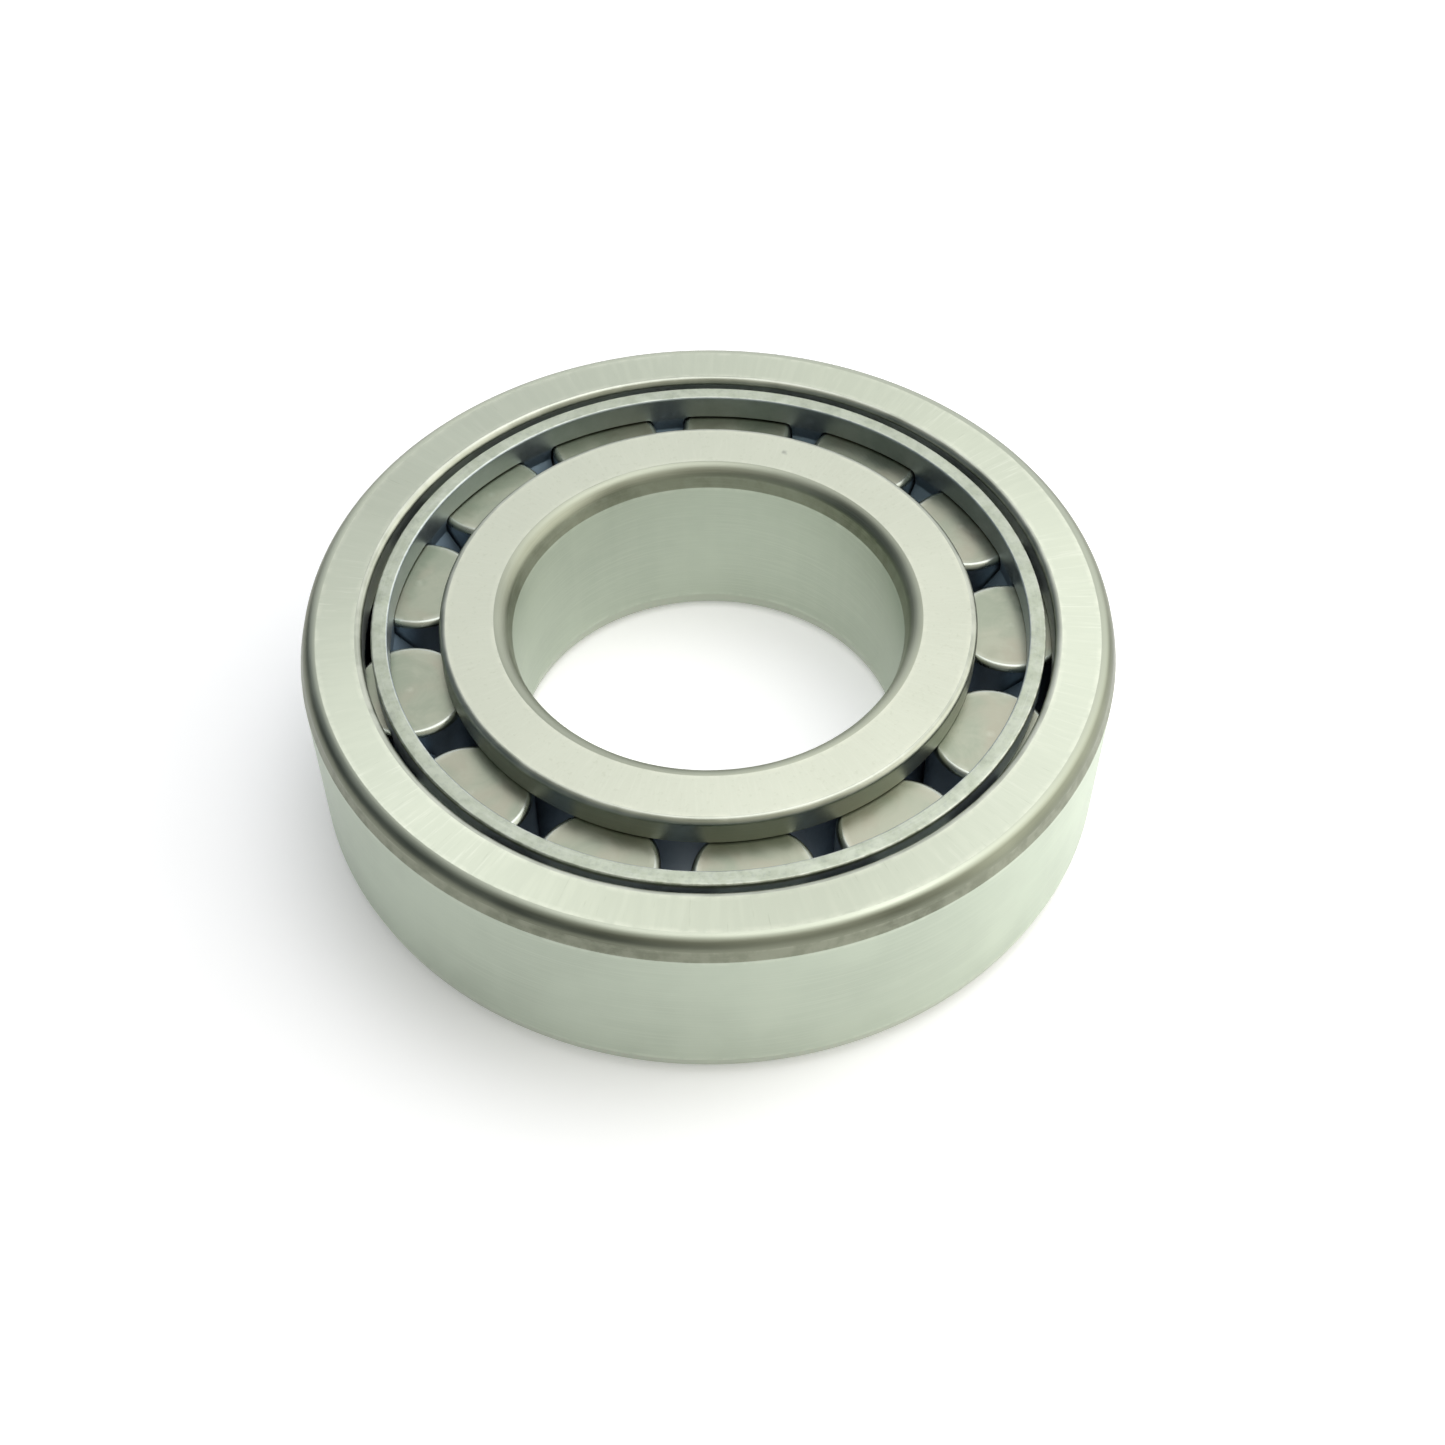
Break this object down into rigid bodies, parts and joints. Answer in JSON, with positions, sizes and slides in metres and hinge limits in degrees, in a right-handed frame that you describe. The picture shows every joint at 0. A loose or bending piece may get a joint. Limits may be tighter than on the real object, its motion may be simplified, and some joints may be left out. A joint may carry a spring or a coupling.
{
  "type": "cylindrical roller bearing",
  "caption": "Single-row cylindrical roller bearing: ribbed outer ring, inner ring with one rib, pressed steel cage and parallel rollers, carrying a shaft under radial load.",
  "frame": {"origin": "bearing centre, on the axis and midway between the two ring faces", "axes": "+Z along the bearing axis, out of the end where the inner ring has its rib; +X through the centre of roller_01"},
  "size_m": [0.062, 0.062, 0.016],
  "materials": {
    "outer_ring_steel": "ground bearing steel, faces brushed, corners turned",
    "inner_ring_steel": "finely ground bearing steel, corners turned",
    "cage_steel": "pressed sheet steel, tumbled smooth",
    "roller_steel": "polished bearing steel"
  },
  "bodies": {
    "outer_ring": {"outer_ring": "outer_ring_steel"},
    "inner_ring": {"inner_ring": "inner_ring_steel"},
    "cage": {"cage": "cage_steel"},
    "roller_01": {"roller_01": "roller_steel"},
    "roller_02": {"roller_02": "roller_steel"},
    "roller_03": {"roller_03": "roller_steel"},
    "roller_04": {"roller_04": "roller_steel"},
    "roller_05": {"roller_05": "roller_steel"},
    "roller_06": {"roller_06": "roller_steel"},
    "roller_07": {"roller_07": "roller_steel"},
    "roller_08": {"roller_08": "roller_steel"},
    "roller_09": {"roller_09": "roller_steel"},
    "roller_10": {"roller_10": "roller_steel"},
    "roller_11": {"roller_11": "roller_steel"},
    "roller_12": {"roller_12": "roller_steel"},
    "roller_13": {"roller_13": "roller_steel"}
  },
  "joints": [
    {"name": "inner_ring_spin", "type": "hinge", "parent": "outer_ring", "child": "inner_ring", "pos_m": [0, 0, 0], "axis": [0, 0, 1], "continuous": true},
    {"name": "cage_orbit", "type": "hinge", "parent": "outer_ring", "child": "cage", "pos_m": [0, 0, 0], "axis": [0, 0, 1], "continuous": true},
    {"name": "roller_01_spin", "type": "hinge", "parent": "cage", "child": "roller_01", "pos_m": [0.02325, 0, 0], "axis": [0, 0, 1], "continuous": true},
    {"name": "roller_02_spin", "type": "hinge", "parent": "cage", "child": "roller_02", "pos_m": [0.02059, 0.0108, 0], "axis": [0, 0, 1], "continuous": true},
    {"name": "roller_03_spin", "type": "hinge", "parent": "cage", "child": "roller_03", "pos_m": [0.01321, 0.01913, 0], "axis": [0, 0, 1], "continuous": true},
    {"name": "roller_04_spin", "type": "hinge", "parent": "cage", "child": "roller_04", "pos_m": [0.0028, 0.02308, 0], "axis": [0, 0, 1], "continuous": true},
    {"name": "roller_05_spin", "type": "hinge", "parent": "cage", "child": "roller_05", "pos_m": [-0.00824, 0.02174, 0], "axis": [0, 0, 1], "continuous": true},
    {"name": "roller_06_spin", "type": "hinge", "parent": "cage", "child": "roller_06", "pos_m": [-0.0174, 0.01542, 0], "axis": [0, 0, 1], "continuous": true},
    {"name": "roller_07_spin", "type": "hinge", "parent": "cage", "child": "roller_07", "pos_m": [-0.02257, 0.00556, 0], "axis": [0, 0, 1], "continuous": true},
    {"name": "roller_08_spin", "type": "hinge", "parent": "cage", "child": "roller_08", "pos_m": [-0.02257, -0.00556, 0], "axis": [0, 0, 1], "continuous": true},
    {"name": "roller_09_spin", "type": "hinge", "parent": "cage", "child": "roller_09", "pos_m": [-0.0174, -0.01542, 0], "axis": [0, 0, 1], "continuous": true},
    {"name": "roller_10_spin", "type": "hinge", "parent": "cage", "child": "roller_10", "pos_m": [-0.00824, -0.02174, 0], "axis": [0, 0, 1], "continuous": true},
    {"name": "roller_11_spin", "type": "hinge", "parent": "cage", "child": "roller_11", "pos_m": [0.0028, -0.02308, 0], "axis": [0, 0, 1], "continuous": true},
    {"name": "roller_12_spin", "type": "hinge", "parent": "cage", "child": "roller_12", "pos_m": [0.01321, -0.01913, 0], "axis": [0, 0, 1], "continuous": true},
    {"name": "roller_13_spin", "type": "hinge", "parent": "cage", "child": "roller_13", "pos_m": [0.02059, -0.0108, 0], "axis": [0, 0, 1], "continuous": true}
  ],
  "couplings": [
    {"joint": "cage_orbit", "follows": "inner_ring_spin", "ratio": 0.40323},
    {"joint": "roller_01_spin", "follows": "inner_ring_spin", "ratio": -2.4866},
    {"joint": "roller_02_spin", "follows": "inner_ring_spin", "ratio": -2.4866},
    {"joint": "roller_03_spin", "follows": "inner_ring_spin", "ratio": -2.4866},
    {"joint": "roller_04_spin", "follows": "inner_ring_spin", "ratio": -2.4866},
    {"joint": "roller_05_spin", "follows": "inner_ring_spin", "ratio": -2.4866},
    {"joint": "roller_06_spin", "follows": "inner_ring_spin", "ratio": -2.4866},
    {"joint": "roller_07_spin", "follows": "inner_ring_spin", "ratio": -2.4866},
    {"joint": "roller_08_spin", "follows": "inner_ring_spin", "ratio": -2.4866},
    {"joint": "roller_09_spin", "follows": "inner_ring_spin", "ratio": -2.4866},
    {"joint": "roller_10_spin", "follows": "inner_ring_spin", "ratio": -2.4866},
    {"joint": "roller_11_spin", "follows": "inner_ring_spin", "ratio": -2.4866},
    {"joint": "roller_12_spin", "follows": "inner_ring_spin", "ratio": -2.4866},
    {"joint": "roller_13_spin", "follows": "inner_ring_spin", "ratio": -2.4866}
  ]
}
